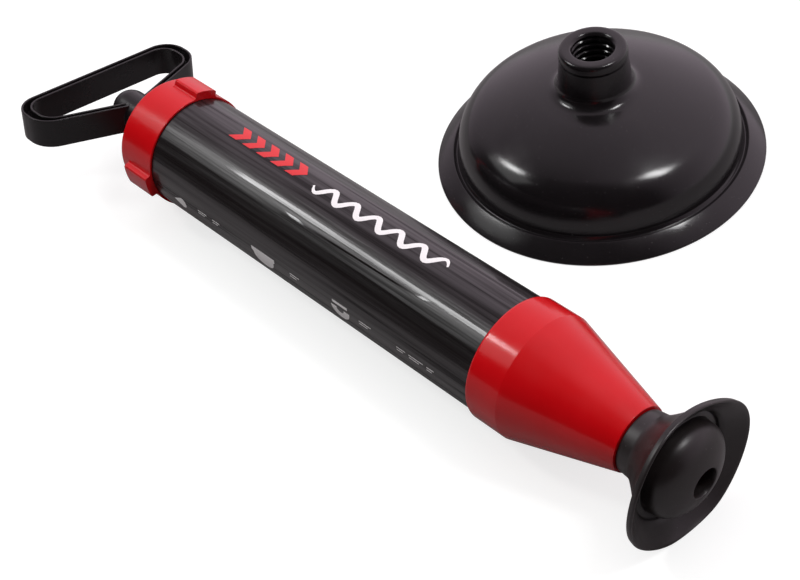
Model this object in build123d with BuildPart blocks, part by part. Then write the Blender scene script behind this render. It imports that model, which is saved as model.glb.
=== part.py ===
from build123d import *
from math import cos, radians, sin
import os

# Hand-pump drain plunger with its spare large cup.
#
# The pump lies on the floor along +X, handle first and nozzle last, with the small cup on its
# nozzle.  The large cup stands mouth-down on the floor beside it, on the +Y side.
# Millimetres, +Z up.  The origin is the centre of the kit's footprint, on the floor.
# Distances named "station" are measured along the pump's axis from the front face of the end cap.

# ---------------------------------------------------------------- where things lie
PUMP_X = -105.8            # front face of the end cap
PUMP_Y = -82.8             # pump axis
SMALL_RIM_R = 31.4         # the small cup's rim rests on the floor
AXIS_HEIGHT = SMALL_RIM_R
CUP_X = PUMP_X + 121.8     # large cup's axis
CUP_Y = PUMP_Y + 136.5
HANDLE_TURN = -11.6        # how far the handle lies from level, degrees

# ---------------------------------------------------------------- barrel
TUBE_R = 25.6
BORE_R = 23.4
TUBE_START = -17.0
THREAD_END = -0.5          # front end of the tube's thread
TUBE_END = 208.0
SLEEVE_WALL = 0.25         # printed film around the tube
SLEEVE_START = 0.4
SLEEVE_END = 198.6
SLIP = 0.05                # gap between pieces that slip over each other

# ---------------------------------------------------------------- end cap
CAP_R = 26.8
CAP_REAR = -22.5
CAP_WALL = 3.0
CAP_REAR_ROUND = 1.6
LUG_COUNT = 3
LUG_FIRST = 63.0           # from +Y towards +Z, degrees
LUG_R = 29.9
LUG_WIDTH = 11.0
LUG_LENGTH = 16.0
LUG_ROUND = 1.2            # outer corners of a lug
LUG_BLEND = 1.8            # hollow where a lug runs into the cap
LUG_BLANK = 9.3            # radial length of a lug before it is trimmed to its outer radius
THREAD_ROOT_R = 24.9
THREAD_CREST_R = 25.4
THREAD_PITCH = 3.2
THREAD_TURNS = 4
THREAD_WIDTH = 1.4
THREAD_ROOT = 0.4          # how far a thread ring sinks into the wall that carries it
THREAD_PLAY = 0.2
THREAD_RUN_IN = 1.6        # plain length before the first turn
BUSH_R = 10.5
BUSH_FLANGE_R = 14.0
BUSH_CHAMFER = 0.4
CAP_GASKET_R = 21.4        # inner radius

# ---------------------------------------------------------------- rod and handle
ROD_R = 7.0
ROD_BORE_R = 5.2
ROD_START = -54.0
ROD_END = 183.0
GRIP_STATION = -81.3       # outer face of the grip bar
HANDLE_HALF_SPAN = 46.0
STRAP_WIDTH = 14.2
NEAR_BAR_APEX = -41.2      # outer face of the near bar, on the axis
NEAR_BAR_SLOPE = 0.376     # how fast the near bar falls back towards the ends
GRIP_WALL = 4.0
END_WALL = 5.4
NEAR_WALL = 3.9
CHANNEL_WALL = 1.1         # walls of the channel in both faces of the strap
CHANNEL_FLOOR = 2.4        # web between the two channels
GRIP_ROUND = 11.2          # corners of the loop, outside then inside
NEAR_ROUND = 13.0
INNER_GRIP_ROUND = 7.6
INNER_NEAR_ROUND = 9.0
APEX_ROUND = 12.0          # bend in the middle of the near bar
EDGE_ROUND = 0.4           # long edges of the strap
BOSS_R = 8.9
BOSS_TIP = -59.5
BOSS_DOME = 9.0
BOSS_FRONT = -36.0
BOSS_CHAMFER = 1.0
PLUG_LENGTH = 22.0
SCREW_HEAD_R = 3.8
SCREW_HEAD_LENGTH = 1.9
SCREW_HEAD_ROUND = 0.8
SCREW_R = 1.9
SCREW_LENGTH = 16.0        # how far the screw reaches into the plug
SCREW_SEAT = -56.4         # where the head stops in the boss
SCREW_SLOT = 4.6
SCREW_SLOT_WIDTH = 0.9
SCREW_SLOT_DEPTH = 1.1
LOOSE = 0.3                # gap around a fastener

# ---------------------------------------------------------------- piston
PLATE_R = 22.9
REAR_PLATE_START = 186.0
LAND_START = 190.0
LAND_R = 16.0
FRONT_PLATE_START = 198.0
FRONT_PLATE_END = 207.0
RING_GROOVE_R = 19.4
RING_GROOVE_WIDTH = 4.6
RING_SECTION_R = 1.95
STUD_R = 3.95
STUD_HOLE_R = 4.05
STUD_SHOULDER_R = 9.0
STUD_CHAMFER = 0.7
SEAL_LIP = 1.6
SEAL_FLOOR = 3.1
WASHER_R = 10.0
WASHER_END = 208.6
NUT_END = 215.4
NUT_FLATS = 13.0
STUD_END = 217.5
BUMPER_R = 14.0
BUMPER_LENGTH = 8.0
BUMPER_ROUND = 2.0

# ---------------------------------------------------------------- nozzle
COLLAR_R = 27.3
COLLAR_START = 199.0
COLLAR_ROUND = 1.4
SHOULDER = 215.5
SHOULDER_TURN = 7.0
CONE_END = 262.0
CONE_END_R = 14.1
CONE_WALL = 3.7
LIP_R = 21.5
FUNNEL_END = 1.0           # how far into the spigot the hollow cone narrows to the waterway
FUNNEL_RUN = 4.0           # length of that last narrowing
GASKET = 1.5
SPIGOT_END = 282.9
SPIGOT_R = 8.6
SPIGOT_CREST_R = 9.1
WATERWAY_R = 6.2           # one straight bore through the spigot and the small cup
SPIGOT_RUN_IN = 4.0        # plain length before the spigot's first turn

# ---------------------------------------------------------------- small cup
SMALL_NECK_START = 262.3
SMALL_NECK_R = 13.2
SMALL_NECK_LENGTH = 6.5
SOCKET_R = 9.2
SMALL_RIM_STATION = 287.6
SMALL_RIM_EDGE = 3.0
SMALL_RIM_ROUND = 0.8
NOSE_R = 20.0
NOSE_BASE = 283.0
NOSE_REACH = 10.6
NOSE_GROOVE = 3.4          # depth of the groove around the nose
NOSE_GROOVE_WIDTH = 2.6

# ---------------------------------------------------------------- large cup
LARGE_RIM_R = 75.4
RIM_CONTACT_R = 70.4       # inner edge of the flat ring that meets the floor
RIM_EDGE = 1.2             # height of the rim's outermost edge
RIM_DRAFT = 0.4            # how far the foot of the rim is set in from it
FLANGE_Z = 7.0             # inner edge of the flange's sloping top
FLANGE_OUT = 2.8           # how far that edge is from the wall
GUTTER_Z = 5.6             # bottom of the gutter between flange and wall
GUTTER_OUT = 1.2
WALL_FOOT = 8.0            # where the wall leaves the gutter
MOUTH_Z = 4.6              # where the mouth's slope meets the inside
MOUTH_OUT = 0.8
LARGE_WALL_R = 64.6
INSIDE_R = 61.4
SHOULDER_Z = 22.2
SHOULDER_ROUND = 20.0
INNER_SHOULDER_ROUND = 16.8
CROWN_MIDDLE_Z = 33.4
CROWN_TOP_Z = 39.2         # where the crown meets the neck
NECK_BASE_R = 17.0
NECK_ROUND = 8.0
LARGE_NECK_R = 15.1
LARGE_NECK_TOP = 60.4
NECK_LIP_ROUND = 1.6
SOCKET_FLOOR = 36.5        # where the socket opens into the cup
SOCKET_THREAD_DEPTH = 0.7


def pump_point(station, along_y=0.0, along_z=0.0):
    """A point given by its station and its offsets from the pump's axis."""
    return (PUMP_X + station, PUMP_Y + along_y, AXIS_HEIGHT + along_z)


# Local x is the station and local y is the distance from the axis.
PUMP_SECTION = Plane(origin=pump_point(0), x_dir=(1, 0, 0), z_dir=(0, -1, 0))
PUMP_AXIS = Axis(pump_point(0), (1, 0, 0))
# Local x is the distance from the axis and local y is the height above the floor.
CUP_SECTION = Plane(origin=(CUP_X, CUP_Y, 0), x_dir=(1, 0, 0), z_dir=(0, -1, 0))
CUP_AXIS = Axis((CUP_X, CUP_Y, 0), (0, 0, 1))


def across(station):
    """The plane square to the pump's axis at a station: local x is +Y and local y is +Z."""
    return Plane(origin=pump_point(station), x_dir=(0, 1, 0), z_dir=(1, 0, 0))


def band(start, end, inner, outer, mode=Mode.ADD):
    """Draw the section of a ring in an axial section plane."""
    with Locations(((start + end) / 2, (inner + outer) / 2)):
        Rectangle(end - start, outer - inner, mode=mode)


def ring(start, end, inner, outer):
    """Add a plain ring about the pump's axis to the part being built."""
    with BuildSketch(PUMP_SECTION) as section:
        band(start, end, inner, outer)
    revolve(section.sketch, axis=PUMP_AXIS)


def thread_station(index):
    """Rear edge of one turn of the thread between tube and cap."""
    return TUBE_START + THREAD_RUN_IN + index * THREAD_PITCH


def from_axis(corner):
    """Distance of a sketch corner from the sketch's origin."""
    return (corner.X ** 2 + corner.Y ** 2) ** 0.5


# ================================================================ barrel tube
with BuildPart() as barrel_tube:
    ring(TUBE_START, THREAD_END, BORE_R, THREAD_ROOT_R)
    ring(THREAD_END, TUBE_END, BORE_R, TUBE_R)
    for turn in range(THREAD_TURNS):
        start = thread_station(turn)
        ring(start, start + THREAD_WIDTH, THREAD_ROOT_R - THREAD_ROOT, THREAD_CREST_R)

# ================================================================ printed sleeve
with BuildPart() as printed_sleeve:
    ring(SLEEVE_START, SLEEVE_END, TUBE_R, TUBE_R + SLEEVE_WALL)

# ================================================================ end cap
CAP_INSIDE = CAP_REAR + CAP_WALL
with BuildPart() as end_cap:
    with BuildSketch(PUMP_SECTION) as cap_profile:
        band(CAP_REAR, 0, 0, CAP_R)
        rear_corner = cap_profile.vertices().group_by(Axis.X)[0].sort_by(Axis.Y)[-1]
        fillet(rear_corner, CAP_REAR_ROUND)
        band(CAP_INSIDE, 0, 0, THREAD_CREST_R + SLIP, mode=Mode.SUBTRACT)
        band(THREAD_END - SLIP, 0, 0, TUBE_R + SLEEVE_WALL + SLIP, mode=Mode.SUBTRACT)
        band(CAP_REAR, 0, 0, BUSH_R, mode=Mode.SUBTRACT)
        for turn in range(THREAD_TURNS - 1):
            start = thread_station(turn) + THREAD_WIDTH + THREAD_PLAY
            band(start, start + THREAD_WIDTH, THREAD_ROOT_R + SLIP, CAP_R - THREAD_ROOT)
    revolve(axis=PUMP_AXIS)
    with BuildSketch(across(-LUG_LENGTH)) as lug_outline:
        with PolarLocations(LUG_R, LUG_COUNT, start_angle=LUG_FIRST):
            Rectangle(LUG_BLANK, LUG_WIDTH)
        Circle(LUG_R, mode=Mode.INTERSECT)
        Circle(CAP_R)
        middle_r = (LUG_R + CAP_R) / 2
        fillet(lug_outline.vertices().filter_by(lambda v: from_axis(v) > middle_r), LUG_ROUND)
        hollows = [v for v in lug_outline.vertices() if abs(from_axis(v) - CAP_R) < 0.01]
        fillet([v for v in hollows if v.Y != 0], LUG_BLEND)
        Circle(CAP_R - THREAD_ROOT, mode=Mode.SUBTRACT)
    extrude(amount=LUG_LENGTH)

# ================================================================ gasket under the cap
with BuildPart() as cap_gasket:
    ring(CAP_INSIDE, TUBE_START, CAP_GASKET_R, THREAD_ROOT_R)

# ================================================================ rod bush
with BuildPart() as rod_bush:
    ring(CAP_REAR, CAP_INSIDE, ROD_R + SLIP, BUSH_R)
    ring(CAP_INSIDE, TUBE_START, ROD_R + SLIP, BUSH_FLANGE_R)
    chamfer(rod_bush.edges().filter_by(GeomType.CIRCLE).group_by(Axis.X)[0], BUSH_CHAMFER)

# ================================================================ pump rod
with BuildPart() as pump_rod:
    ring(ROD_START, ROD_END, ROD_BORE_R, ROD_R)

# ================================================================ plug in the rod's handle end
with BuildPart() as handle_plug:
    ring(ROD_START, ROD_START + PLUG_LENGTH, SCREW_R + SLIP, ROD_BORE_R)

# ================================================================ handle
turn_y = cos(radians(HANDLE_TURN))
turn_z = sin(radians(HANDLE_TURN))
# Local x is the station and local y runs along the grip.
HANDLE_PLANE = Plane(origin=pump_point(0), x_dir=(1, 0, 0), z_dir=(0, -turn_z, turn_y))


def loop_outline(grip, half_span, apex, grip_round, near_round):
    """One closed outline of the strap loop: straight grip, round ends, bent near bar."""
    near_end = apex - NEAR_BAR_SLOPE * half_span
    with BuildSketch(HANDLE_PLANE) as outline:
        with BuildLine():
            Polyline((grip, -half_span), (grip, half_span), (near_end, half_span),
                     (apex, 0), (near_end, -half_span), close=True)
        make_face()
        fillet(outline.vertices().group_by(Axis.X)[0], grip_round)
        fillet(outline.vertices().group_by(Axis.X)[-1], APEX_ROUND)
        fillet([v for v in outline.vertices() if abs(v.X - near_end) < 0.01], near_round)
    return outline.sketch


def outer_loop(inward):
    """The outside of the loop, moved inward by a distance."""
    return loop_outline(GRIP_STATION + inward, HANDLE_HALF_SPAN - inward, NEAR_BAR_APEX - inward,
                        GRIP_ROUND - inward, NEAR_ROUND - inward)


def inner_loop(outward):
    """The inside of the loop, moved outward by a distance."""
    return loop_outline(GRIP_STATION + GRIP_WALL - outward,
                        HANDLE_HALF_SPAN - END_WALL + outward,
                        NEAR_BAR_APEX - NEAR_WALL + outward,
                        INNER_GRIP_ROUND + outward, INNER_NEAR_ROUND + outward)


def off_middle(edge):
    """Distance of an edge's centre from the plane through the middle of the strap."""
    centre = edge.center()
    return abs((centre.Z - AXIS_HEIGHT) * turn_y - (centre.Y - PUMP_Y) * turn_z)


with BuildPart() as handle:
    outside = outer_loop(0)
    inside = inner_loop(0)
    walls = (outside - outer_loop(CHANNEL_WALL)) + (inner_loop(CHANNEL_WALL) - inside)
    extrude(walls, amount=STRAP_WIDTH / 2, both=True)
    extrude(outside - inside, amount=CHANNEL_FLOOR / 2, both=True)
    long_edges = handle.edges().filter_by(lambda e: off_middle(e) > STRAP_WIDTH / 2 - 0.01)
    fillet(long_edges, EDGE_ROUND)
    with BuildSketch(PUMP_SECTION) as boss_profile:
        with Locations((BOSS_TIP + BOSS_DOME, 0)):
            Ellipse(BOSS_DOME, BOSS_R)
        band(BOSS_TIP + BOSS_DOME, BOSS_FRONT, 0, BOSS_R)
        band(BOSS_TIP, BOSS_FRONT, -BOSS_R, 0, mode=Mode.SUBTRACT)
        front_corner = boss_profile.vertices().group_by(Axis.X)[-1].sort_by(Axis.Y)[-1]
        chamfer(front_corner, BOSS_CHAMFER)
    revolve(axis=PUMP_AXIS)
    with BuildSketch(PUMP_SECTION):
        band(ROD_START, BOSS_FRONT, 0, ROD_R + SLIP)
        band(BOSS_TIP, SCREW_SEAT, 0, SCREW_HEAD_R + LOOSE)
        band(SCREW_SEAT, ROD_START, 0, SCREW_R + LOOSE)
    revolve(axis=PUMP_AXIS, mode=Mode.SUBTRACT)

# ================================================================ handle screw
SCREW_TOP = SCREW_SEAT - SCREW_HEAD_LENGTH
with BuildPart() as handle_screw:
    ring(SCREW_TOP, SCREW_SEAT, 0, SCREW_HEAD_R)
    fillet(handle_screw.edges().filter_by(GeomType.CIRCLE).group_by(Axis.X)[0],
           SCREW_HEAD_ROUND)
    ring(SCREW_SEAT, ROD_START + SCREW_LENGTH, 0, SCREW_R)
    with BuildSketch(across(SCREW_TOP)):
        Rectangle(SCREW_SLOT, SCREW_SLOT_WIDTH)
        Rectangle(SCREW_SLOT_WIDTH, SCREW_SLOT)
    extrude(amount=SCREW_SLOT_DEPTH, mode=Mode.SUBTRACT)

# ================================================================ stud in the rod's front end
with BuildPart() as piston_stud:
    ring(ROD_END - PLUG_LENGTH, ROD_END, 0, ROD_BORE_R)
    ring(ROD_END, REAR_PLATE_START, 0, STUD_SHOULDER_R)
    ring(REAR_PLATE_START, STUD_END, 0, STUD_R)
    chamfer(piston_stud.edges().filter_by(GeomType.CIRCLE).group_by(Axis.X)[-1], STUD_CHAMFER)

# ================================================================ stop bumper
with BuildPart() as stop_bumper:
    ring(ROD_END - BUMPER_LENGTH, ROD_END, ROD_R, BUMPER_R)
    rear_rims = stop_bumper.edges().filter_by(GeomType.CIRCLE).group_by(Axis.X)[0]
    fillet(rear_rims.sort_by(SortBy.LENGTH)[-1], BUMPER_ROUND)

# ================================================================ piston plates
with BuildPart() as rear_plate:
    ring(REAR_PLATE_START, LAND_START, STUD_HOLE_R, PLATE_R)
    ring(LAND_START, FRONT_PLATE_START, STUD_HOLE_R, LAND_R)

GROOVE_MIDDLE = (FRONT_PLATE_START + FRONT_PLATE_END) / 2
with BuildPart() as front_plate:
    with BuildSketch(PUMP_SECTION):
        band(FRONT_PLATE_START, FRONT_PLATE_END, STUD_HOLE_R, PLATE_R)
        band(GROOVE_MIDDLE - RING_GROOVE_WIDTH / 2, GROOVE_MIDDLE + RING_GROOVE_WIDTH / 2,
             RING_GROOVE_R, PLATE_R + 1, mode=Mode.SUBTRACT)
    revolve(axis=PUMP_AXIS)

# ================================================================ piston seals
LIP_TIP_R = BORE_R - SLIP
SEAL_START = LAND_START + LOOSE
SEAL_END = FRONT_PLATE_START - 2 * LOOSE
with BuildPart() as piston_cup_seal:
    with BuildSketch(PUMP_SECTION):
        with BuildLine():
            Polyline((SEAL_START, LAND_R + SLIP), (SEAL_START, PLATE_R - 2 * LOOSE),
                     (SEAL_END - 1, LIP_TIP_R), (SEAL_END, LIP_TIP_R),
                     (SEAL_END, LIP_TIP_R - SEAL_LIP), (SEAL_START + SEAL_FLOOR, PLATE_R - SEAL_FLOOR),
                     (SEAL_START + SEAL_FLOOR, LAND_R + SLIP), close=True)
        make_face()
    revolve(axis=PUMP_AXIS)

with BuildPart() as piston_o_ring:
    with BuildSketch(PUMP_SECTION):
        with Locations((GROOVE_MIDDLE, BORE_R - SLIP - RING_SECTION_R)):
            Circle(RING_SECTION_R)
    revolve(axis=PUMP_AXIS)

# ================================================================ piston washer and nut
with BuildPart() as piston_washer:
    ring(FRONT_PLATE_END, WASHER_END, STUD_HOLE_R, WASHER_R)

with BuildPart() as piston_nut:
    with BuildSketch(across(WASHER_END)):
        RegularPolygon(NUT_FLATS / 2, 6, major_radius=False)
        Circle(STUD_HOLE_R, mode=Mode.SUBTRACT)
    extrude(amount=NUT_END - WASHER_END)

# ================================================================ nozzle
FUNNEL_STOP = CONE_END + FUNNEL_END
with BuildPart() as nozzle_cone:
    with BuildSketch(PUMP_SECTION) as nozzle_profile:
        with BuildLine():
            Polyline((COLLAR_START, 0), (COLLAR_START, COLLAR_R), (SHOULDER, COLLAR_R),
                     (CONE_END, CONE_END_R), (CONE_END, SPIGOT_R), (SPIGOT_END, SPIGOT_R),
                     (SPIGOT_END, 0), close=True)
        make_face()
        rim_and_shoulder = nozzle_profile.vertices().group_by(Axis.Y)[-1].sort_by(Axis.X)
        fillet(rim_and_shoulder[0], COLLAR_ROUND)
        fillet(rim_and_shoulder[1], SHOULDER_TURN)
    revolve(axis=PUMP_AXIS)
    with BuildSketch(PUMP_SECTION):
        with BuildLine():
            Polyline((COLLAR_START, 0), (COLLAR_START, TUBE_R + SLIP),
                     (TUBE_END + GASKET, TUBE_R + SLIP), (TUBE_END + GASKET, LIP_R),
                     (SHOULDER, LIP_R), (FUNNEL_STOP - FUNNEL_RUN, CONE_END_R - CONE_WALL),
                     (FUNNEL_STOP, WATERWAY_R), (SPIGOT_END, WATERWAY_R), (SPIGOT_END, 0),
                     close=True)
        make_face()
    revolve(axis=PUMP_AXIS, mode=Mode.SUBTRACT)
    for turn in range(THREAD_TURNS):
        start = CONE_END + SPIGOT_RUN_IN + turn * THREAD_PITCH
        ring(start, start + THREAD_WIDTH, SPIGOT_R - THREAD_ROOT, SPIGOT_CREST_R)

with BuildPart() as nozzle_gasket:
    ring(TUBE_END, TUBE_END + GASKET, LIP_R, TUBE_R)

# ================================================================ small cup
NECK_FLARE = SMALL_NECK_START + SMALL_NECK_LENGTH
FLARE_R = SMALL_NECK_R + 0.9
RIM_BACK = SMALL_RIM_STATION - SMALL_RIM_EDGE
RIM_CORNER_R = SMALL_RIM_R - SMALL_RIM_ROUND
GROOVE_FLOOR = NOSE_BASE - NOSE_GROOVE
GROOVE_R = NOSE_R + NOSE_GROOVE_WIDTH
GROOVE_EDGE = (NOSE_BASE - 1.2, GROOVE_R + 0.6)
SKIRT_MIDDLE = (NECK_FLARE + 8.6, 21.4)
FLANGE_MIDDLE = (SMALL_RIM_STATION - 2.9, 27.4)
with BuildPart() as small_cup:
    with BuildSketch(PUMP_SECTION):
        with BuildLine():
            Polyline((NECK_FLARE, FLARE_R), (SMALL_NECK_START, SMALL_NECK_R),
                     (SMALL_NECK_START, 0), (GROOVE_FLOOR, 0), (GROOVE_FLOOR, GROOVE_R),
                     GROOVE_EDGE)
            ThreePointArc(GROOVE_EDGE, FLANGE_MIDDLE, (SMALL_RIM_STATION, RIM_CORNER_R))
            ThreePointArc((SMALL_RIM_STATION, RIM_CORNER_R),
                          (SMALL_RIM_STATION - SMALL_RIM_EDGE / 2, SMALL_RIM_R),
                          (RIM_BACK, RIM_CORNER_R))
            ThreePointArc((RIM_BACK, RIM_CORNER_R), SKIRT_MIDDLE, (NECK_FLARE, FLARE_R))
        make_face()
        with Locations((NOSE_BASE, 0)):
            Ellipse(NOSE_REACH, NOSE_R)
        band(SMALL_NECK_START, NOSE_BASE + NOSE_REACH, -NOSE_R, 0, mode=Mode.SUBTRACT)
        band(SMALL_NECK_START, NOSE_BASE, 0, SOCKET_R, mode=Mode.SUBTRACT)
        band(NOSE_BASE, NOSE_BASE + NOSE_REACH, 0, WATERWAY_R, mode=Mode.SUBTRACT)
    revolve(axis=PUMP_AXIS)

# ================================================================ large cup
CROWN_MIDDLE = (42.0, CROWN_MIDDLE_Z)
INNER_MIDDLE = (40.0, CROWN_MIDDLE_Z - 2.7)
INNER_SHOULDER = (INSIDE_R, SHOULDER_Z - 1.7)


def corner_at(sketch, place):
    """The corner of a sketch nearest to a place."""
    return sketch.vertices().sort_by_distance(place)[0]


with BuildPart() as large_cup:
    with BuildSketch(CUP_SECTION) as cup_profile:
        with BuildLine():
            Polyline((0, 0), (LARGE_RIM_R - RIM_DRAFT, 0), (LARGE_RIM_R, RIM_EDGE),
                     (LARGE_WALL_R + FLANGE_OUT, FLANGE_Z), (LARGE_WALL_R + GUTTER_OUT, GUTTER_Z),
                     (LARGE_WALL_R, WALL_FOOT), (LARGE_WALL_R, SHOULDER_Z))
            ThreePointArc((LARGE_WALL_R, SHOULDER_Z), CROWN_MIDDLE, (NECK_BASE_R, CROWN_TOP_Z))
            Polyline((NECK_BASE_R, CROWN_TOP_Z), (LARGE_NECK_R, LARGE_NECK_TOP),
                     (0, LARGE_NECK_TOP), (0, 0))
        make_face()
        fillet(corner_at(cup_profile, (LARGE_WALL_R, SHOULDER_Z)), SHOULDER_ROUND)
        fillet(corner_at(cup_profile, (NECK_BASE_R, CROWN_TOP_Z)), NECK_ROUND)
        fillet(corner_at(cup_profile, (LARGE_NECK_R, LARGE_NECK_TOP)), NECK_LIP_ROUND)
    revolve(axis=CUP_AXIS)
    with BuildSketch(CUP_SECTION) as hollow_profile:
        with BuildLine():
            Polyline((0, 0), (RIM_CONTACT_R, 0), (INSIDE_R + MOUTH_OUT, MOUTH_Z),
                     (INSIDE_R, WALL_FOOT),
                     INNER_SHOULDER)
            ThreePointArc(INNER_SHOULDER, INNER_MIDDLE, (SOCKET_R, SOCKET_FLOOR))
            Polyline((SOCKET_R, SOCKET_FLOOR), (0, SOCKET_FLOOR), (0, 0))
        make_face()
        fillet(corner_at(hollow_profile, INNER_SHOULDER), INNER_SHOULDER_ROUND)
        with Locations((SOCKET_R / 2, (SOCKET_FLOOR + LARGE_NECK_TOP) / 2)):
            Rectangle(SOCKET_R, LARGE_NECK_TOP - SOCKET_FLOOR)
        for turn in range(THREAD_TURNS):
            height = LARGE_NECK_TOP - SPIGOT_RUN_IN - turn * THREAD_PITCH
            with Locations((SOCKET_R, height)):
                Rectangle(2 * SOCKET_THREAD_DEPTH, THREAD_WIDTH)
    revolve(axis=CUP_AXIS, mode=Mode.SUBTRACT)

# ================================================================ write the pieces
barrel_tube.part.label = "barrel_tube"
printed_sleeve.part.label = "printed_sleeve"
end_cap.part.label = "end_cap"
cap_gasket.part.label = "cap_gasket"
rod_bush.part.label = "rod_bush"
pump_rod.part.label = "pump_rod"
handle_plug.part.label = "handle_plug"
handle.part.label = "handle"
handle_screw.part.label = "handle_screw"
piston_stud.part.label = "piston_stud"
stop_bumper.part.label = "stop_bumper"
rear_plate.part.label = "rear_plate"
front_plate.part.label = "front_plate"
piston_cup_seal.part.label = "piston_cup_seal"
piston_o_ring.part.label = "piston_o_ring"
piston_washer.part.label = "piston_washer"
piston_nut.part.label = "piston_nut"
nozzle_cone.part.label = "nozzle_cone"
nozzle_gasket.part.label = "nozzle_gasket"
small_cup.part.label = "small_cup"
large_cup.part.label = "large_cup"

os.makedirs("parts", exist_ok=True)
export_step(barrel_tube.part, "parts/barrel_tube.step")
export_step(printed_sleeve.part, "parts/printed_sleeve.step")
export_step(end_cap.part, "parts/end_cap.step")
export_step(cap_gasket.part, "parts/cap_gasket.step")
export_step(rod_bush.part, "parts/rod_bush.step")
export_step(pump_rod.part, "parts/pump_rod.step")
export_step(handle_plug.part, "parts/handle_plug.step")
export_step(handle.part, "parts/handle.step")
export_step(handle_screw.part, "parts/handle_screw.step")
export_step(piston_stud.part, "parts/piston_stud.step")
export_step(stop_bumper.part, "parts/stop_bumper.step")
export_step(rear_plate.part, "parts/rear_plate.step")
export_step(front_plate.part, "parts/front_plate.step")
export_step(piston_cup_seal.part, "parts/piston_cup_seal.step")
export_step(piston_o_ring.part, "parts/piston_o_ring.step")
export_step(piston_washer.part, "parts/piston_washer.step")
export_step(piston_nut.part, "parts/piston_nut.step")
export_step(nozzle_cone.part, "parts/nozzle_cone.step")
export_step(nozzle_gasket.part, "parts/nozzle_gasket.step")
export_step(small_cup.part, "parts/small_cup.step")
export_step(large_cup.part, "parts/large_cup.step")
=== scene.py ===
import math

import bmesh
import bpy
from mathutils import Matrix, Vector


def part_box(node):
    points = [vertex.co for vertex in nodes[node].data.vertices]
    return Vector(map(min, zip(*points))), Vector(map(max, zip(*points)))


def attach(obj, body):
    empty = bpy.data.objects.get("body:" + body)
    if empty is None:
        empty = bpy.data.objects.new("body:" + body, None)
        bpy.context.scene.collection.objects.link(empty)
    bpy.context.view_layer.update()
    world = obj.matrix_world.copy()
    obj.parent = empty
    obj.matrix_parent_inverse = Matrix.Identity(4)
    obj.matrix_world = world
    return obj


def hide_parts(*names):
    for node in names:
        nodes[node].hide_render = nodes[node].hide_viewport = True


# Looks of the hand-pump drain plunger and its spare large cup.
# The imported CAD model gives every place.  Profiles are in millimetres and turned into metres.

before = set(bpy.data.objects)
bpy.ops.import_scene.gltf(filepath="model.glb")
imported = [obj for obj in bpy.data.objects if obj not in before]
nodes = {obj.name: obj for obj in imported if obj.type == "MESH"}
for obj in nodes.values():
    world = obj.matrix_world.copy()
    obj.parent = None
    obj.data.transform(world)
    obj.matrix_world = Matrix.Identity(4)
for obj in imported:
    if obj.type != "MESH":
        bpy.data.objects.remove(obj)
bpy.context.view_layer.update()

MM = 0.001
TAU = 2 * math.pi

# ---------------------------------------------------------------- places taken from the frame
cap_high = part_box("end_cap")[1]
tube_low, tube_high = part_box("barrel_tube")
sleeve_low, sleeve_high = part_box("printed_sleeve")
cup_low, cup_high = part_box("large_cup")
STATION_ZERO = cap_high.x                       # front face of the end cap
AXIS_Y = (tube_low.y + tube_high.y) / 2
AXIS_Z = (tube_low.z + tube_high.z) / 2
CUP_X = (cup_low.x + cup_high.x) / 2
CUP_Y = (cup_low.y + cup_high.y) / 2
SLEEVE_R = (sleeve_high.y - sleeve_low.y) / 2 / MM


def on_pump(station, radius, angle):
    """A point of the pump: mm along it, mm from its axis, and the angle from +Y towards +Z."""
    return Vector((STATION_ZERO + station * MM,
                   AXIS_Y + radius * MM * math.cos(angle),
                   AXIS_Z + radius * MM * math.sin(angle)))


def on_cup(height, radius, angle):
    """A point of the large cup: mm above the floor, mm from its axis, and the angle from +X."""
    return Vector((CUP_X + radius * MM * math.cos(angle),
                   CUP_Y + radius * MM * math.sin(angle),
                   height * MM))


# ---------------------------------------------------------------- outlines
def rounded(corners, step=0.5):
    """A closed outline from (x, y, round) corners; rounds are arcs of points step mm apart."""
    points = []
    for i, (x, y, size) in enumerate(corners):
        here = Vector((x, y))
        before = Vector(corners[i - 1][:2]) - here
        after = Vector(corners[(i + 1) % len(corners)][:2]) - here
        turn = math.pi - before.angle(after)
        reach = size * math.tan(turn / 2)
        reach = min(reach, before.length * 0.49, after.length * 0.49)
        if reach < 0.01:
            points.append((x, y))
            continue
        start = here + before.normalized() * reach
        end = here + after.normalized() * reach
        count = max(3, int(reach * turn / step) + 2)
        for k in range(count + 1):
            t = k / count
            point = start * (1 - t) ** 2 + here * 2 * t * (1 - t) + end * t ** 2
            points.append((point.x, point.y))
    return points


def circle_through(a, b, c):
    """Centre and radius of the circle through three points."""
    a, b, c = Vector(a), Vector(b), Vector(c)
    d = 2 * (a.x * (b.y - c.y) + b.x * (c.y - a.y) + c.x * (a.y - b.y))
    x = (a.length_squared * (b.y - c.y) + b.length_squared * (c.y - a.y)
         + c.length_squared * (a.y - b.y)) / d
    y = (a.length_squared * (c.x - b.x) + b.length_squared * (a.x - c.x)
         + c.length_squared * (b.x - a.x)) / d
    centre = Vector((x, y))
    return centre, (a - centre).length


def along_circle(centre, radius, first, last, count):
    """Points on a circle from one angle to another, both included."""
    sweep = (last - first + math.pi) % TAU - math.pi
    return [(centre.x + radius * math.cos(first + sweep * k / count),
             centre.y + radius * math.sin(first + sweep * k / count)) for k in range(count + 1)]


def direction(centre, point):
    """Angle of a point seen from a centre."""
    return math.atan2(point[1] - centre.y, point[0] - centre.x)


def arc(start, middle, end, count):
    """Points on the circle through three points, without the first and last."""
    centre, radius = circle_through(start, middle, end)
    return along_circle(centre, radius, direction(centre, start), direction(centre, end),
                        count)[1:-1]


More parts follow.
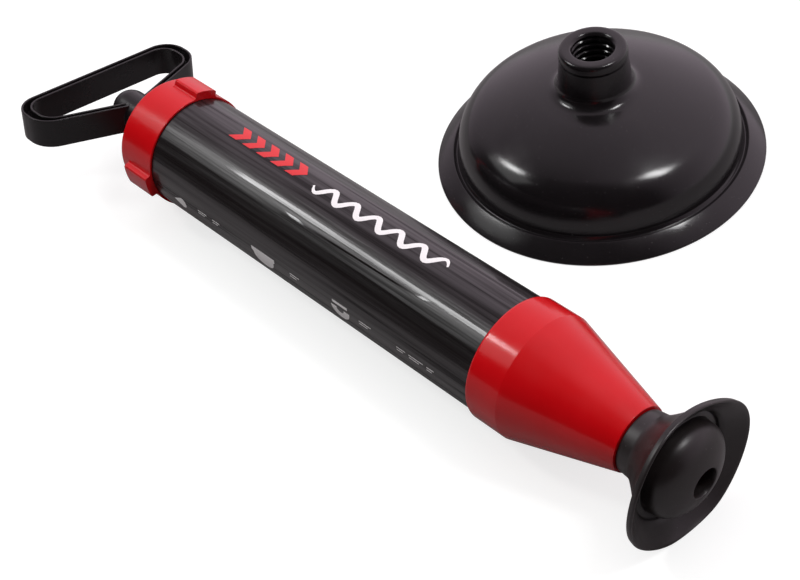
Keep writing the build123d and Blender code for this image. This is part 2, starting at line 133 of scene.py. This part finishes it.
def crowned(corner, middle, end, size, count):
    """Points up a wall, round its shoulder and along the crown through corner, middle and end."""
    centre, radius = circle_through(corner, middle, end)
    x = corner[0] - size
    y = centre.y + math.sqrt((radius - size) ** 2 - (x - centre.x) ** 2)
    hub = Vector((x, y))
    top = direction(centre, hub)
    shoulder = along_circle(hub, size, 0.0, top, 10)
    return shoulder + along_circle(centre, radius, top, direction(centre, end), count)[1:]


def helix(along, angle, start, end, pitch, depth):
    """Height of a rounded screw thread at a place, running out over half a pitch at both ends."""
    if along < start or along > end:
        return 0.0
    phase = (along - start) / pitch - angle / TAU
    crest = max(0.0, math.cos(TAU * phase) + 0.25) / 1.25
    fade = min(1.0, (along - start) / (pitch / 2), (end - along) / (pitch / 2))
    return depth * min(1.0, crest * 1.4) * max(0.0, fade)


# ---------------------------------------------------------------- meshes
def add_mesh(name, bm, material, body, sharp_angle=40.0):
    """Turn a bmesh into a smooth-shaded piece that rides on a body."""
    bmesh.ops.recalc_face_normals(bm, faces=bm.faces)
    mesh = bpy.data.meshes.new(name)
    bm.to_mesh(mesh)
    bm.free()
    mesh.materials.append(material)
    mesh.shade_smooth()
    mesh.set_sharp_from_angle(angle=math.radians(sharp_angle))
    piece = bpy.data.objects.new(name, mesh)
    bpy.context.scene.collection.objects.link(piece)
    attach(piece, body)
    return piece


def spin(outline, place, segments, shape=None):
    """Spin a closed outline of (along, radius) points about an axis into a closed surface."""
    bm = bmesh.new()
    rings = []
    for k in range(segments):
        angle = TAU * k / segments
        ring = []
        for along, radius in outline:
            moved = shape(along, radius, angle) if shape else (along, radius)
            ring.append(bm.verts.new(place(moved[0], moved[1], angle)))
        rings.append(ring)
    for k in range(segments):
        this, after = rings[k], rings[(k + 1) % segments]
        for i in range(len(outline)):
            j = (i + 1) % len(outline)
            bm.faces.new((this[i], this[j], after[j], after[i]))
    return bm


# ---------------------------------------------------------------- materials
class Shader:
    """A small helper that adds and links shader nodes."""

    def __init__(self, name):
        self.material = bpy.data.materials.new(name)
        self.material.use_nodes = True
        self.tree = self.material.node_tree
        self.main = self.tree.nodes["Principled BSDF"]
        self.where = self.tree.nodes.new("ShaderNodeTexCoord").outputs["Object"]

    def node(self, kind, **values):
        """A new node with its settings and inputs filled in."""
        made = self.tree.nodes.new(kind)
        for key, value in values.items():
            if hasattr(made, key):
                setattr(made, key, value)
            else:
                made.inputs[key.replace("_", " ")].default_value = value
        return made

    def link(self, output, target):
        self.tree.links.new(output, target)

    def noise(self, scale, detail=2.0, stretch=(1, 1, 1), roughness=0.5):
        """Noise whose cells are 1/scale metres across, stretched along the axes."""
        mapping = self.node("ShaderNodeMapping")
        mapping.inputs["Scale"].default_value = stretch
        self.link(self.where, mapping.inputs["Vector"])
        made = self.node("ShaderNodeTexNoise", Scale=scale, Detail=detail, Roughness=roughness)
        self.link(mapping.outputs["Vector"], made.inputs["Vector"])
        return made.outputs["Fac"]

    def ramp(self, factor, low, high, out_low, out_high):
        """Map a factor from low..high to out_low..out_high."""
        made = self.node("ShaderNodeMapRange")
        made.inputs["From Min"].default_value = low
        made.inputs["From Max"].default_value = high
        made.inputs["To Min"].default_value = out_low
        made.inputs["To Max"].default_value = out_high
        self.link(factor, made.inputs["Value"])
        return made.outputs["Result"]

    def maths(self, operation, a, b=0.0):
        """A maths node on two values, each a number or another node's output."""
        made = self.node("ShaderNodeMath", operation=operation)
        for socket, value in zip(made.inputs, (a, b)):
            if isinstance(value, (int, float)):
                socket.default_value = value
            else:
                self.link(value, socket)
        return made.outputs[0]

    def blend(self, factor, first, second):
        """Mix two colours by a factor."""
        made = self.node("ShaderNodeMix", data_type="RGBA")
        self.link(factor, made.inputs["Factor"])
        for socket, value in ((made.inputs[6], first), (made.inputs[7], second)):
            if isinstance(value, tuple):
                socket.default_value = (*value, 1.0)
            else:
                self.link(value, socket)
        return made.outputs[2]

    def bump(self, height, distance, normal=None):
        """Tilt a normal by a height that spans the given distance in metres."""
        made = self.node("ShaderNodeBump", Strength=1.0, Distance=distance)
        self.link(height, made.inputs["Height"])
        if normal is not None:
            self.link(normal, made.inputs["Normal"])
        return made.outputs["Normal"]

    def soft_edges(self, radius):
        """The normal with edges rounded to a radius."""
        made = self.node("ShaderNodeBevel", samples=4)
        made.inputs["Radius"].default_value = radius
        return made.outputs["Normal"]

    def worn_edges(self, radius):
        """1 on convex and concave edges, 0 on flat stretches."""
        bevel = self.soft_edges(radius)
        geometry = self.node("ShaderNodeNewGeometry")
        dot = self.node("ShaderNodeVectorMath", operation="DOT_PRODUCT")
        self.link(bevel, dot.inputs[0])
        self.link(geometry.outputs["Normal"], dot.inputs[1])
        return self.ramp(dot.outputs["Value"], 0.93, 0.70, 0.0, 1.0)

    def set(self, name, value):
        """Give an input of the main shader a number, a colour or another node's output."""
        if isinstance(value, (int, float, tuple)):
            if isinstance(value, tuple):
                value = (*value, 1.0)
            self.main.inputs[name].default_value = value
        else:
            self.link(value, self.main.inputs[name])


def moulded(name, colour, varied, roughness, rough_spread=0.06, grain=2600.0,
            grain_depth=0.000006, wave_depth=0.00006, edge_colour=None, edge_radius=0.0004,
            specular=0.5, coat=0.0):
    """Moulded plastic: colour drift, uneven gloss, fine grain, slight waviness, worn edges."""
    s = Shader(name)
    drift = s.ramp(s.noise(38.0, 3.0), 0.35, 0.65, 0.0, 1.0)
    base = s.blend(drift, colour, varied)
    gloss = s.ramp(s.noise(90.0, 4.0), 0.3, 0.7,
                   roughness - rough_spread, roughness + rough_spread)
    normal = None
    if edge_colour is not None:
        worn = s.worn_edges(edge_radius)
        patchy = s.ramp(s.noise(420.0, 3.0), 0.42, 0.62, 0.0, 1.0)
        wear = s.maths("MULTIPLY", worn, patchy)
        wear = s.maths("MULTIPLY", wear, 0.7)
        base = s.blend(wear, base, edge_colour)
        gloss = s.maths("ADD", gloss, s.maths("MULTIPLY", wear, 0.15))
        normal = s.soft_edges(edge_radius)
    normal = s.bump(s.noise(30.0, 1.0), wave_depth, normal)
    normal = s.bump(s.noise(grain, 2.0), grain_depth, normal)
    s.set("Base Color", base)
    s.set("Roughness", gloss)
    s.set("Specular IOR Level", specular)
    s.set("Coat Weight", coat)
    s.set("Coat Roughness", 0.10)
    s.link(normal, s.main.inputs["Normal"])
    s.link(normal, s.main.inputs["Coat Normal"])
    return s.material


CREASE_START = 57.5        # mm around the tube from +Y towards +Z, at the front face of the cap
CREASE_SLOPE = -0.018      # how far the crease drifts around the tube per length along it


def crease_masks(s):
    """The long crease in the film: a ridge about 2 mm wide, and the sharp line along its top."""
    place = s.node("ShaderNodeSeparateXYZ")
    s.link(s.where, place.inputs[0])
    side = s.maths("SUBTRACT", place.outputs["Y"], AXIS_Y)
    height = s.maths("SUBTRACT", place.outputs["Z"], AXIS_Z)
    around_tube = s.maths("MULTIPLY", s.maths("ARCTAN2", height, side), SLEEVE_R * MM)
    station = s.maths("SUBTRACT", place.outputs["X"], STATION_ZERO)
    path = s.maths("ADD", s.maths("MULTIPLY", station, CREASE_SLOPE), CREASE_START * MM)
    apart = s.maths("ABSOLUTE", s.maths("SUBTRACT", around_tube, path))
    length = s.maths("MULTIPLY", s.ramp(station, 0.075, 0.115, 0.0, 1.0),
                     s.ramp(station, 0.150, 0.170, 1.0, 0.0))
    ridge = s.maths("MULTIPLY", s.ramp(apart, 0.0, 0.0011, 1.0, 0.0), length)
    line = s.maths("MULTIPLY", s.ramp(apart, 0.00025, 0.0006, 1.0, 0.0), length)
    return ridge, line


def film(name, colour, varied):
    """Glossy printed film: draw lines and fine scratches along the tube, and one long crease."""
    s = Shader(name)
    fine = s.noise(420.0, 3.0, stretch=(0.02, 1, 1), roughness=0.6)
    wide = s.noise(70.0, 2.0, stretch=(0.04, 1, 1))
    scratches = s.ramp(s.noise(900.0, 5.0, stretch=(0.06, 1, 1), roughness=0.75),
                       0.63, 0.72, 0.0, 1.0)
    base = s.blend(s.ramp(wide, 0.35, 0.65, 0.0, 1.0), colour, varied)
    base = s.blend(s.maths("MULTIPLY", scratches, 0.2), base, (0.06, 0.052, 0.052))
    ridge, line = crease_masks(s)
    smooth = s.maths("SUBTRACT", 1.0, line)
    normal = s.bump(wide, 0.00005)
    normal = s.bump(fine, 0.000022, normal)
    normal = s.bump(ridge, 0.00035, normal)
    s.set("Base Color", base)
    s.set("Roughness", s.ramp(fine, 0.35, 0.65, 0.26, 0.38))
    s.set("Specular IOR Level", s.maths("MULTIPLY", s.ramp(fine, 0.40, 0.62, 0.12, 0.55), smooth))
    s.set("Coat Weight", s.maths("MULTIPLY", s.ramp(fine, 0.38, 0.60, 0.25, 0.60), smooth))
    s.set("Coat IOR", 1.45)
    s.set("Coat Roughness", s.maths("ADD", s.maths("MULTIPLY", scratches, 0.15), 0.05))
    s.link(s.bump(fine, 0.00016), s.main.inputs["Normal"])
    s.link(normal, s.main.inputs["Coat Normal"])
    return s.material


def rubber(name, colour, bloom_colour, roughness, spread, bloom=0.35, wave_depth=0.0002):
    """Moulded black rubber: grey bloom in patches, fine skin texture, a few specks of dust."""
    s = Shader(name)
    patches = s.ramp(s.noise(24.0, 5.0, roughness=0.6), 0.40, 0.70, 0.0, bloom)
    base = s.blend(patches, colour, bloom_colour)
    dust = s.ramp(s.noise(1500.0, 1.0), 0.76, 0.80, 0.0, 0.5)
    base = s.blend(dust, base, (0.16, 0.15, 0.15))
    gloss = s.ramp(s.noise(60.0, 4.0), 0.3, 0.7, roughness - spread, roughness + spread)
    gloss = s.maths("ADD", gloss, s.maths("MULTIPLY", patches, 0.12))
    normal = s.bump(s.noise(22.0, 2.0), wave_depth)
    normal = s.bump(s.noise(1900.0, 3.0), 0.000010, normal)
    s.set("Base Color", base)
    s.set("Roughness", gloss)
    s.set("Specular IOR Level", 0.5)
    s.link(normal, s.main.inputs["Normal"])
    return s.material


def plated(name, colour, roughness):
    """Zinc-plated steel with fine turning lines."""
    s = Shader(name)
    gloss = s.ramp(s.noise(500.0, 4.0), 0.3, 0.7, roughness - 0.08, roughness + 0.08)
    spots = s.ramp(s.noise(160.0, 4.0), 0.45, 0.7, 0.0, 0.5)
    base = s.blend(spots, colour, (0.42, 0.40, 0.36))
    normal = s.bump(s.noise(3000.0, 2.0, stretch=(1, 0.2, 0.2)), 0.000008)
    s.set("Base Color", base)
    s.set("Metallic", 1.0)
    s.set("Roughness", gloss)
    s.link(normal, s.main.inputs["Normal"])
    return s.material


def ink(name, colour, worn_colour):
    """Screen-printed ink: slightly uneven cover with pin holes."""
    s = Shader(name)
    cover = s.ramp(s.noise(1300.0, 4.0, roughness=0.7), 0.60, 0.70, 0.0, 0.55)
    base = s.blend(cover, colour, worn_colour)
    gloss = s.ramp(s.noise(200.0, 3.0), 0.3, 0.7, 0.30, 0.45)
    s.set("Base Color", base)
    s.set("Roughness", gloss)
    s.link(s.bump(s.noise(2200.0, 2.0), 0.000004), s.main.inputs["Normal"])
    return s.material


RED = moulded("red_plastic", (0.58, 0.0035, 0.0065), (0.54, 0.0025, 0.005), 0.20,
              rough_spread=0.04, edge_colour=(0.64, 0.03, 0.03), wave_depth=0.00004,
              specular=0.25, coat=0.30)
HANDLE_BLACK = moulded("handle_plastic", (0.006, 0.005, 0.0055), (0.009, 0.0075, 0.008), 0.30,
                       edge_colour=(0.05, 0.046, 0.046), grain=3200.0, grain_depth=0.000010,
                       specular=0.35)
TUBE_BLACK = moulded("tube_plastic", (0.010, 0.010, 0.011), (0.014, 0.013, 0.014), 0.22)
ROD_BLACK = moulded("rod_plastic", (0.020, 0.020, 0.022), (0.028, 0.028, 0.030), 0.34,
                    edge_colour=(0.08, 0.08, 0.08))
NYLON = moulded("bush_nylon", (0.70, 0.68, 0.62), (0.64, 0.62, 0.55), 0.42,
                edge_colour=(0.80, 0.79, 0.75))
PISTON_WHITE = moulded("piston_plastic", (0.62, 0.62, 0.60), (0.56, 0.56, 0.54), 0.38,
                       edge_colour=(0.74, 0.74, 0.72))
SLEEVE_FILM = film("sleeve_film", (0.007, 0.006, 0.006), (0.010, 0.008, 0.008))
SEAL_RUBBER = rubber("seal_rubber", (0.016, 0.016, 0.016), (0.035, 0.034, 0.033), 0.50, 0.08)
LARGE_RUBBER = rubber("large_cup_rubber", (0.006, 0.005, 0.0055), (0.013, 0.011, 0.012), 0.17,
                      0.04, wave_depth=0.00014)
SMALL_RUBBER = rubber("small_cup_rubber", (0.010, 0.0075, 0.0072), (0.022, 0.017, 0.017), 0.34,
                      0.07, bloom=0.7)
STEEL = plated("plated_steel", (0.60, 0.60, 0.58), 0.32)
RED_INK = ink("red_ink", (0.66, 0.020, 0.024), (0.22, 0.012, 0.014))
WHITE_INK = ink("white_ink", (0.80, 0.79, 0.78), (0.40, 0.39, 0.39))

FINISHES = {
    "barrel_tube": TUBE_BLACK, "printed_sleeve": SLEEVE_FILM, "end_cap": RED,
    "cap_gasket": SEAL_RUBBER, "rod_bush": NYLON, "pump_rod": ROD_BLACK, "handle_plug": ROD_BLACK,
    "handle": HANDLE_BLACK, "handle_screw": STEEL, "piston_stud": STEEL,
    "stop_bumper": SEAL_RUBBER, "rear_plate": PISTON_WHITE, "front_plate": PISTON_WHITE,
    "piston_cup_seal": SEAL_RUBBER, "piston_o_ring": SEAL_RUBBER, "piston_washer": STEEL,
    "piston_nut": STEEL, "nozzle_cone": RED, "nozzle_gasket": SEAL_RUBBER,
    "small_cup": SMALL_RUBBER, "large_cup": LARGE_RUBBER,
}
for name, finish in FINISHES.items():
    mesh = nodes[name].data
    mesh.materials.clear()
    mesh.materials.append(finish)


# ---------------------------------------------------------------- large cup
SOCKET_R = 9.2            # both cups' sockets, to the crest of the rubber between the threads
THREAD_PITCH = 3.2
SOCKET_STEP = 0.25        # mm between the points that carry the thread
ON_SOCKET = 0.02          # mm within which a point counts as one of them


def build_large_cup():
    """The spare cup, mouth down: beaded flange, tall wall, crowned top and threaded neck."""
    fillet_from = 26.5        # the crown stops here, to leave room for the fillet at the neck
    lip_from = 11.0           # its under side stops here, to leave room for the socket's lip
    thread_points = 86
    crown = crowned((64.6, 22.2), (42.0, 33.4), (17.0, 39.2), 20.0, 34)
    crown = [(r, z) for r, z in crown if r > fillet_from]
    under_crown = crowned((61.4, 20.5), (40.0, 30.7), (SOCKET_R, 36.5), 16.8, 34)[::-1]
    under_crown = [(r, z) for r, z in under_crown if r > lip_from]
    neck_top = 60.4
    outline = rounded([
        (75.0, 0.0, 0.3), (75.4, 1.1, 0.5), (67.6, 7.0, 0.5), (65.9, 5.8, 0.5), (64.7, 7.6, 0.8)]
        + [(r, z, 0.0) for r, z in crown] + [
        (17.0, 39.2, 8.0), (15.25, 55.0, 0.5), (15.5, 56.2, 0.8), (15.2, neck_top, 2.2),
        (SOCKET_R + 1.0, neck_top, 1.2), (SOCKET_R, neck_top - 1.2, 0.3)]
        + [(SOCKET_R, neck_top - 1.4 - SOCKET_STEP * k, 0.0) for k in range(thread_points)] + [
        (SOCKET_R, 36.7, 0.6)] + [(r, z, 0.0) for r, z in under_crown] + [
        (61.4, 7.4, 1.5), (62.4, 4.2, 1.0), (70.4, 0.0, 0.4)])
    flipped = [(z, r) for r, z in outline]

    def shape(height, radius, angle):
        if abs(radius - SOCKET_R) < ON_SOCKET and height > 38.0:
            radius += helix(height, -angle, 40.0, neck_top - 1.5, THREAD_PITCH, 0.75)
        return height, radius

    bm = spin(flipped, on_cup, 192, shape)
    piece = add_mesh("large_cup_rubber", bm, LARGE_RUBBER, "large_cup", 50.0)
    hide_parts("large_cup")


# ---------------------------------------------------------------- small cup
RIM_PLACE = 287.6
RIM_RADIUS = 31.4
FLEX_FROM = 20.9          # the rubber flexes outside this radius
FLOOR_GAP = 0.1           # mm kept between the bent rim and the floor
FLOOR_SOFTNESS = 0.9      # how gently the rim is turned aside where it would meet the floor
WATERWAY_R = 6.2


def wave(angle, size, lobes, peak):
    """One harmonic around the rim, highest at the peak, which is in degrees."""
    return size * math.cos(lobes * (angle - math.radians(peak)))


def flexed(station, radius, angle):
    """The thin rim of the small cup has taken a set: its edge is bent back in two places."""
    if radius < FLEX_FROM:
        return station, radius
    share = (radius - FLEX_FROM) / (RIM_RADIUS - FLEX_FROM)
    back = -1.1 + wave(angle, 1.25, 1, -62) + wave(angle, 0.4, 2, -39) + wave(angle, 0.75, 3, 36)
    out = 1.0 + wave(angle, 1.25, 1, -92) + wave(angle, 1.15, 2, -23) + wave(angle, 0.5, 3, -4)
    radius += out * share ** 1.3
    if math.sin(angle) < -0.2:
        room = (RIM_RADIUS - FLOOR_GAP) / -math.sin(angle)
        radius -= FLOOR_SOFTNESS * math.log1p(math.exp((radius - room) / FLOOR_SOFTNESS))
    return station + back * share ** 1.5, radius


def build_small_cup():
    """The cup on the nozzle: threaded neck, flared skirt, thin rim, groove and domed nose."""
    neck = 262.3
    nose_base = 283.0
    dome_stops = 7.0          # mm from the axis, to leave room for the waterway's rounded edge
    thread_points = 76
    dome = []
    for k in range(1, 27):
        t = math.pi / 2 * k / 28
        dome.append((nose_base + 10.6 * math.sin(t), 19.8 * math.cos(t)))
    dome = [(a, r) for a, r in dome if r > dome_stops]
    skirt = arc((268.8, 14.1), (277.2, 21.4), (284.6, 30.2), 20)
    face = arc((RIM_PLACE, 30.8), (284.6, 27.4), (281.6, 23.4), 14)
    outline = rounded([(neck, 9.9, 0.3), (neck, 13.2, 0.7), (neck + 2.4, 13.5, 2.0),
                       (268.0, 13.9, 3.0)]
                      + [(a, r, 0.0) for a, r in skirt]
                      + [(285.0, 31.0, 0.7), (287.0, 31.4, 0.7), (RIM_PLACE, 31.1, 0.4)]
                      + [(a, r, 0.0) for a, r in face]
                      + [(280.8, 22.9, 0.6), (279.5, 22.4, 0.7), (279.5, 19.9, 0.6),
                         (nose_base, 19.8, 0.5)]
                      + [(a, r, 0.0) for a, r in dome]
                      + [(293.0, WATERWAY_R + 0.2, 0.5), (291.6, WATERWAY_R, 0.3),
                         (nose_base, WATERWAY_R, 0.3),
                         (nose_base - 0.4, SOCKET_R, 0.4)]
                      + [(nose_base - 0.8 - SOCKET_STEP * k, SOCKET_R, 0.0)
                         for k in range(thread_points)], 0.4)

    def shape(station, radius, angle):
        if abs(radius - SOCKET_R) < ON_SOCKET and neck + 1.0 < station < nose_base - 0.6:
            radius += helix(station, angle, neck + 2.0, nose_base - 1.0, THREAD_PITCH, 0.7)
            return station, radius
        return flexed(station, radius, angle)

    bm = spin(outline, on_pump, 160, shape)
    piece = add_mesh("small_cup_rubber", bm, SMALL_RUBBER, "small_cup", 50.0)
    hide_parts("small_cup")


# ---------------------------------------------------------------- printed marks on the sleeve
INK_LIFT = 0.03           # mm between the sleeve and the under side of the ink
INK_THICKNESS = 0.06


def wrapped_mark(bm, outline):
    """Add a flat mark to bm, wrapped on the sleeve: outline points are (station, mm around it)."""
    part = bmesh.new()
    face = part.faces.new([part.verts.new((x, y, 0.0)) for x, y in outline])
    face.normal_update()
    low = min(y for x, y in outline)
    high = max(y for x, y in outline)
    cuts = int((high - low) / 0.9)
    for k in range(1, cuts + 1):
        level = low + (high - low) * k / (cuts + 1)
        bmesh.ops.bisect_plane(part, geom=part.verts[:] + part.edges[:] + part.faces[:],
                               plane_co=(0, level, 0), plane_no=(0, 1, 0), dist=1e-6)
    bmesh.ops.triangulate(part, faces=part.faces[:])
    made = bmesh.ops.extrude_face_region(part, geom=part.faces[:])
    for item in made["geom"]:
        if isinstance(item, bmesh.types.BMVert):
            item.co.z += INK_THICKNESS
    radius = SLEEVE_R + INK_LIFT
    for vert in part.verts:
        angle = vert.co.y / SLEEVE_R
        vert.co = on_pump(vert.co.x, radius + vert.co.z, angle)
    spare = bpy.data.meshes.new("spare")
    part.to_mesh(spare)
    part.free()
    bm.from_mesh(spare)
    bpy.data.meshes.remove(spare)


def around(degrees):
    """Distance around the sleeve, in mm, of an angle from +Y towards +Z."""
    return math.radians(degrees) * SLEEVE_R


def drop_outline(station, middle, size):
    """A water drop that points back along the tube."""
    points = [(station - size * 1.35, middle)]
    for k in range(17):
        turn = math.radians(-125 + 250 * k / 16)
        points.append((station + size * 0.62 * math.cos(turn),
                       middle + size * 0.62 * math.sin(turn)))
    return points


def wave_outline(start, end, first, last, height, thickness, waves):
    """A wavy band of even thickness, drifting from one distance around the tube to another."""
    count = waves * 16
    upper = []
    lower = []
    for k in range(count + 1):
        t = k / count
        x = start + (end - start) * t
        y = first + (last - first) * t + height * math.sin(TAU * waves * t)
        slope = height * math.cos(TAU * waves * t) * TAU * waves / (end - start)
        across = Vector((-slope, 1.0)).normalized() * (thickness / 2)
        across *= min(1.0, 0.3 + 9 * t, 0.3 + 9 * (1 - t))
        upper.append((x + across.x, y + across.y))
        lower.append((x - across.x, y - across.y))
    return upper + lower[::-1]


def half_circle(station, middle, size, step):
    """Points on the half circle above a middle line, from front to back."""
    return [(station + size * math.cos(math.radians(a)), middle + size * math.sin(math.radians(a)))
            for a in range(0, 181, step)]


def dash(bm, start, end, middle, thickness):
    """A short straight stroke along the tube."""
    wrapped_mark(bm, [(start, middle - thickness / 2), (end, middle - thickness / 2),
                      (end, middle + thickness / 2), (start, middle + thickness / 2)])


def build_prints():
    """Plain decoration in the places of the print: red arrows, a white wave, white pictures."""
    bm = bmesh.new()
    middle = around(79)
    half = around(10)
    for k in range(5):
        x = 31 + 9.4 * k
        wrapped_mark(bm, [(x, middle - half), (x + 5.2, middle - half), (x + 9.8, middle),
                          (x + 5.2, middle + half), (x, middle + half), (x + 4.6, middle)])
    add_mesh("print_red_arrows", bm, RED_INK, "barrel")

    bm = bmesh.new()
    wrapped_mark(bm, wave_outline(86, 164, around(85), around(83), 3.0, 2.6, 6))
    add_mesh("print_white_waves", bm, WHITE_INK, "barrel")

    bm = bmesh.new()
    wrapped_mark(bm, drop_outline(21, around(182), 4.2))
    basin = [(70, around(174)), (85, around(174)), (85, around(178))]
    basin += [(77.5 + 6.5 * math.cos(math.radians(a)),
               around(180) + 5.5 * math.sin(math.radians(a))) for a in range(0, 181, 15)]
    basin += [(70, around(178))]
    wrapped_mark(bm, basin)
    bend = half_circle(126.5, around(178), 5.5, 12)
    bend += half_circle(126.5, around(178), 2.2, 12)[::-1]
    wrapped_mark(bm, bend)
    dash(bm, 122, 131, around(173), 1.3)
    for start, length in ((33, 6), (43, 5), (95, 6), (138, 7), (160, 5), (167, 8), (177, 4)):
        for row, share in ((176.5, 1.0), (179.5, 0.7)):
            dash(bm, start, start + length * share, around(row), 0.45)
    add_mesh("print_white_pictures", bm, WHITE_INK, "barrel")


# ---------------------------------------------------------------- floor, light and camera
def build_stage():
    """A wide pale floor.  It glows nearly white to the camera, and is dimmer in reflections except
    for a painted glow on its far side.
    """
    s = Shader("pale_floor")
    seen = s.node("ShaderNodeLightPath").outputs["Is Camera Ray"]
    place = s.node("ShaderNodeSeparateXYZ")
    s.link(s.where, place.inputs[0])
    # painted glow: the far side of the floor (+Y) emits more and more, up to 0.6, as a bright
    # sheet that glossy parts mirror
    far = s.ramp(place.outputs["Y"], 0.15, 0.60, 0.0, 0.6)
    s.set("Base Color", s.blend(seen, (0.32, 0.31, 0.31), (0.34, 0.35, 0.34)))
    s.set("Roughness", 0.9)
    s.set("Specular IOR Level", 0.0)
    s.set("Emission Color", (1.0, 1.0, 1.0))
    # painted glow: to the camera the whole floor glows evenly at 0.74, which pales the shadows on
    # it; other rays see only the far glow
    glow = s.maths("MAXIMUM", far, s.ramp(seen, 0.0, 1.0, 0.0, 0.74))
    s.set("Emission Strength", glow)
    bm = bmesh.new()
    bmesh.ops.create_grid(bm, x_segments=1, y_segments=1, size=6.0)
    mesh = bpy.data.meshes.new("floor")
    bm.to_mesh(mesh)
    bm.free()
    mesh.materials.append(s.material)
    floor = bpy.data.objects.new("floor", mesh)
    bpy.context.scene.collection.objects.link(floor)


def softbox(name, direction, distance, width, height, radiance, target, tilt=0.0):
    """An area light that faces the target, turned by tilt degrees about its own line of sight."""
    light = bpy.data.lights.new(name, "AREA")
    light.shape = "RECTANGLE"
    light.size = width
    light.size_y = height
    light.energy = radiance * math.pi * width * height
    lamp = bpy.data.objects.new(name, light)
    way = Vector(direction).normalized()
    lamp.matrix_world = (Matrix.Translation(target + way * distance)
                         @ way.to_track_quat("Z", "Y").to_matrix().to_4x4()
                         @ Matrix.Rotation(math.radians(tilt), 4, "Z"))
    bpy.context.scene.collection.objects.link(lamp)
    return lamp


def build_world():
    """Plain white to the camera.  Reflections see a pale tent on the far side that darkens
    overhead and goes black on the camera's side."""
    world = bpy.data.worlds.new("studio")
    bpy.context.scene.world = world
    world.use_nodes = True
    tree = world.node_tree
    tree.nodes.clear()
    where = tree.nodes.new("ShaderNodeTexCoord").outputs["Generated"]
    far = tree.nodes.new("ShaderNodeVectorMath")
    far.operation = "DOT_PRODUCT"
    tree.links.new(where, far.inputs[0])
    far.inputs[1].default_value = (-0.17, 0.98, 0.0)
    spread = tree.nodes.new("ShaderNodeMapRange")
    spread.inputs["From Min"].default_value = -1.0
    spread.inputs["From Max"].default_value = 1.0
    tree.links.new(far.outputs["Value"], spread.inputs["Value"])
    strength = tree.nodes.new("ShaderNodeValToRGB")
    stops = strength.color_ramp.elements
    levels = ((0.25, 0.01), (0.375, 0.03), (0.5, 0.24), (0.62, 0.34), (0.78, 0.50), (1.0, 0.62))
    for place, level in levels[2:]:
        stops.new(place)
    for stop, (place, level) in zip(stops, levels):
        stop.position = place
        stop.color = (level, level, level, 1.0)
    tree.links.new(spread.outputs["Result"], strength.inputs["Fac"])
    tint = tree.nodes.new("ShaderNodeMix")
    tint.data_type = "RGBA"
    tint.blend_type = "MULTIPLY"
    tint.inputs[0].default_value = 1.0
    tree.links.new(strength.outputs["Color"], tint.inputs[6])
    tint.inputs[7].default_value = (1.0, 0.85, 0.96, 1.0)
    tent = tree.nodes.new("ShaderNodeBackground")
    tent.inputs["Strength"].default_value = 1.8
    tree.links.new(tint.outputs[2], tent.inputs["Color"])
    plain = tree.nodes.new("ShaderNodeBackground")
    plain.inputs["Color"].default_value = (0.95, 0.95, 0.95, 1.0)
    seen = tree.nodes.new("ShaderNodeLightPath").outputs["Is Camera Ray"]
    either = tree.nodes.new("ShaderNodeMixShader")
    tree.links.new(seen, either.inputs[0])
    tree.links.new(tent.outputs[0], either.inputs[1])
    tree.links.new(plain.outputs[0], either.inputs[2])
    output = tree.nodes.new("ShaderNodeOutputWorld")
    tree.links.new(either.outputs[0], output.inputs[0])


def build_light():
    """Two small bright lamps, a dim panel, and a wide fill that glossy surfaces don't mirror."""
    target = Vector((0.03, -0.02, 0.04))
    softbox("lamp_left", (-0.580, -0.325, 0.746), 2.8, 0.68, 0.30, 22.0, target, 52.0)
    softbox("lamp_right", (0.395, 0.250, 0.870), 2.4, 0.34, 0.60, 24.0, target)
    softbox("panel_left", (-0.60, -0.47, 0.65), 1.9, 1.0, 0.75, 1.2, target)
    fill = softbox("fill_above", (-0.15, -0.12, 1.0), 1.6, 2.3, 2.3, 0.98, target)
    fill.visible_glossy = False


def build_camera():
    azimuth = math.radians(54.4)      # 0 looks along +Y
    elevation = math.radians(45.6)
    roll = math.radians(11.6)
    distance = 0.6633
    aim = Vector((STATION_ZERO + 0.1376, AXIS_Y - 0.0025, AXIS_Z))
    back = Vector((math.sin(azimuth) * math.cos(elevation),
                   -math.cos(azimuth) * math.cos(elevation), math.sin(elevation)))
    right = Vector((math.cos(azimuth), math.sin(azimuth), 0.0))
    up = back.cross(right)
    leaning_right = right * math.cos(roll) - up * math.sin(roll)
    leaning_up = back.cross(leaning_right)
    turn = Matrix((leaning_right, leaning_up, back)).transposed().to_4x4()
    data = bpy.data.cameras.new("camera")
    data.lens = 72.95
    data.sensor_width = 36.0
    camera = bpy.data.objects.new("camera", data)
    camera.matrix_world = Matrix.Translation(aim + back * distance) @ turn
    bpy.context.scene.collection.objects.link(camera)
    bpy.context.scene.camera = camera


build_large_cup()
build_small_cup()
build_prints()
build_stage()
build_world()
build_light()
build_camera()
bpy.context.scene.view_settings.view_transform = "Standard"
bpy.context.scene.view_settings.look = "None"
